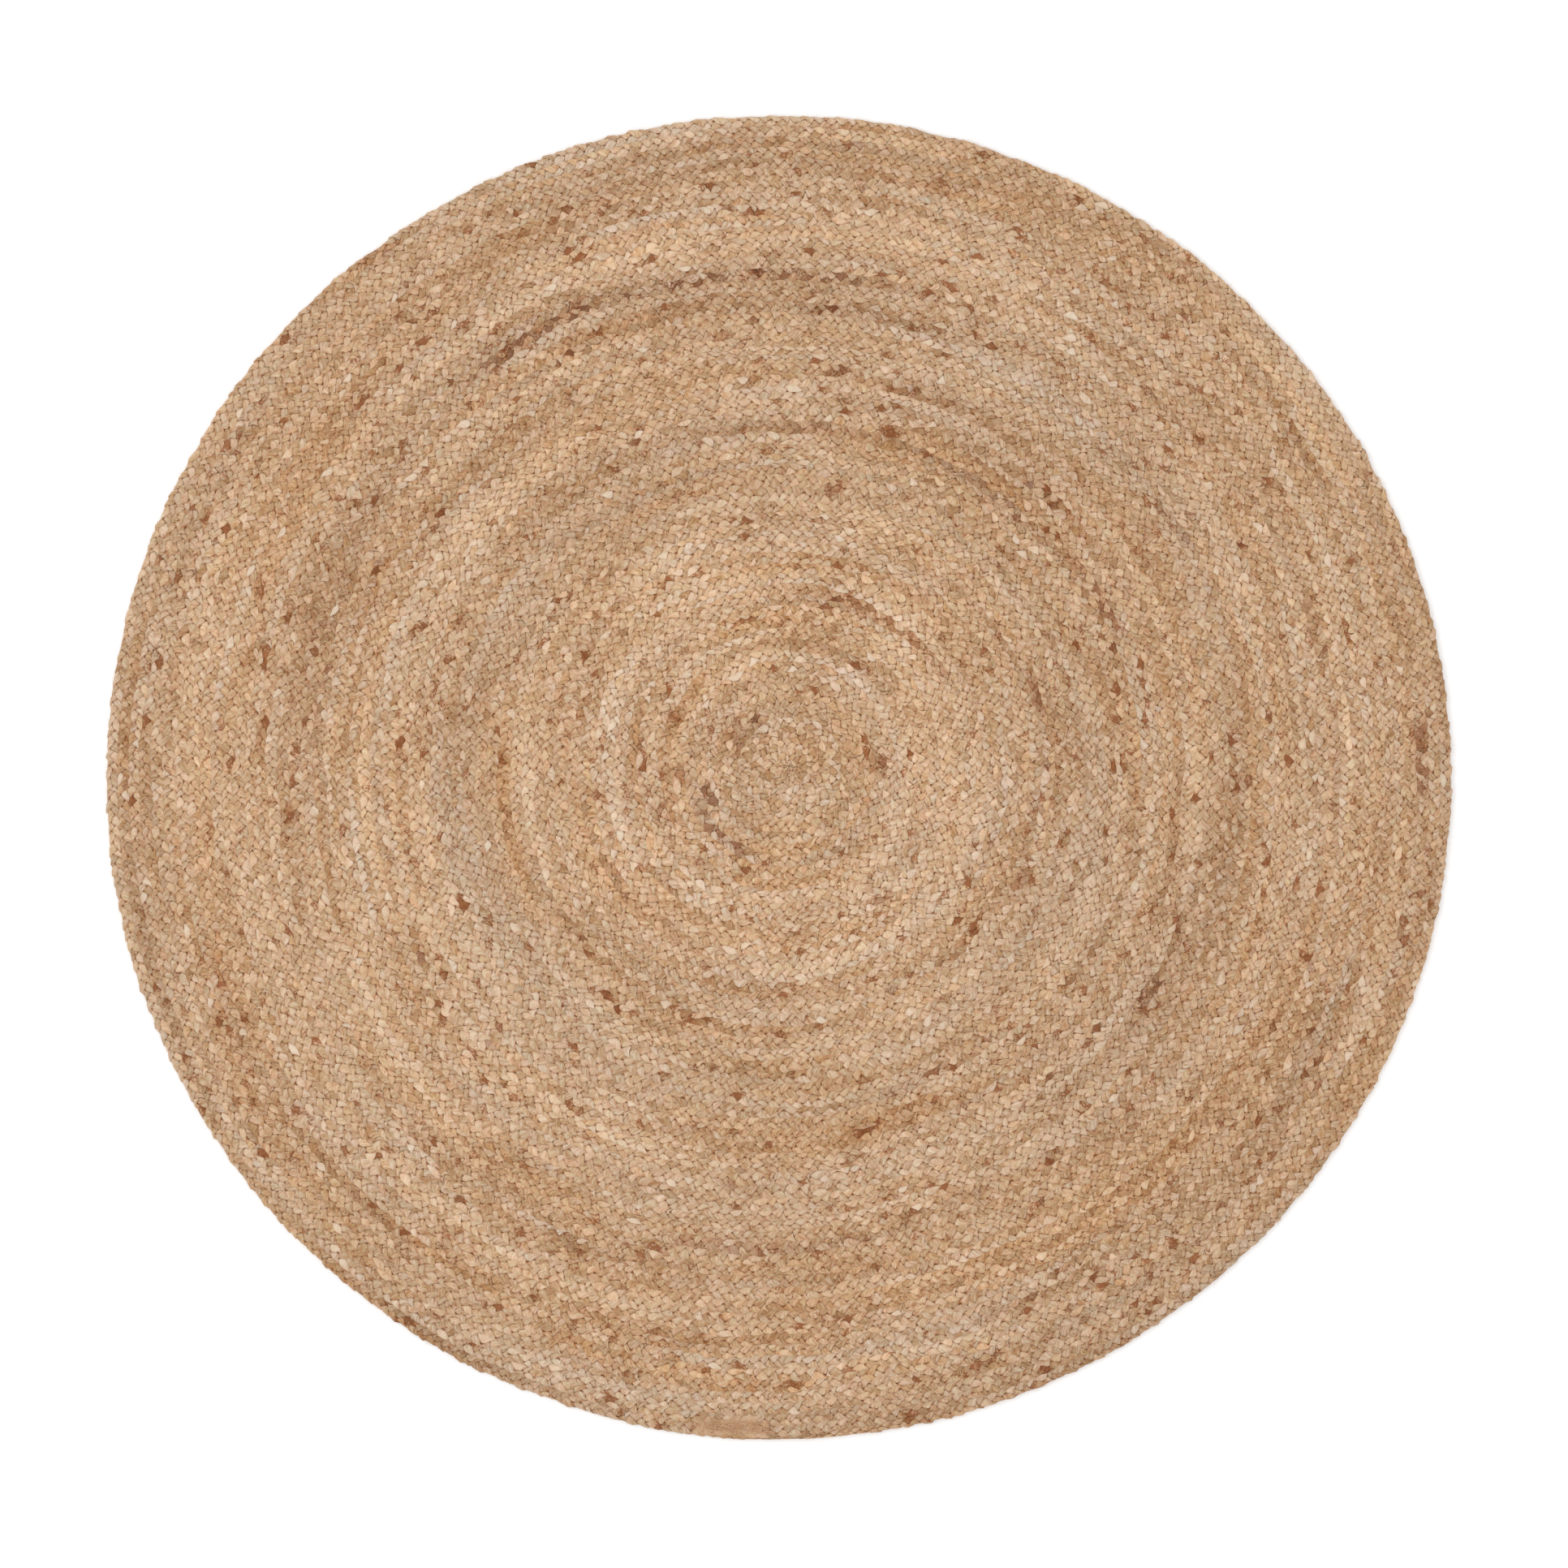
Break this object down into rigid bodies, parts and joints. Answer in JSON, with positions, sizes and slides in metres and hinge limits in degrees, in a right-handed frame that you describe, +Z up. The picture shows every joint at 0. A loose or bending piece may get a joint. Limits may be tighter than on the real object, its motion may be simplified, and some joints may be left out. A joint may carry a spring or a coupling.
{
  "type": "round braided jute rug",
  "caption": "Round flat rug of one natural jute braid, wound into a coil and sewn edge to edge.",
  "frame": {"origin": "on the underside, at the middle of the outline", "axes": "+Z up out of the top face, +X along the slightly longer way across, +Y across it; the braid's sewn end is near -Y"},
  "size_m": [1.5119, 1.4878, 0.008],
  "materials": {
    "jute": "rough natural bast fibre, undyed, matt with a faint sheen along the fibres"
  },
  "bodies": {
    "root": {"rug": "jute"}
  },
  "joints": []
}
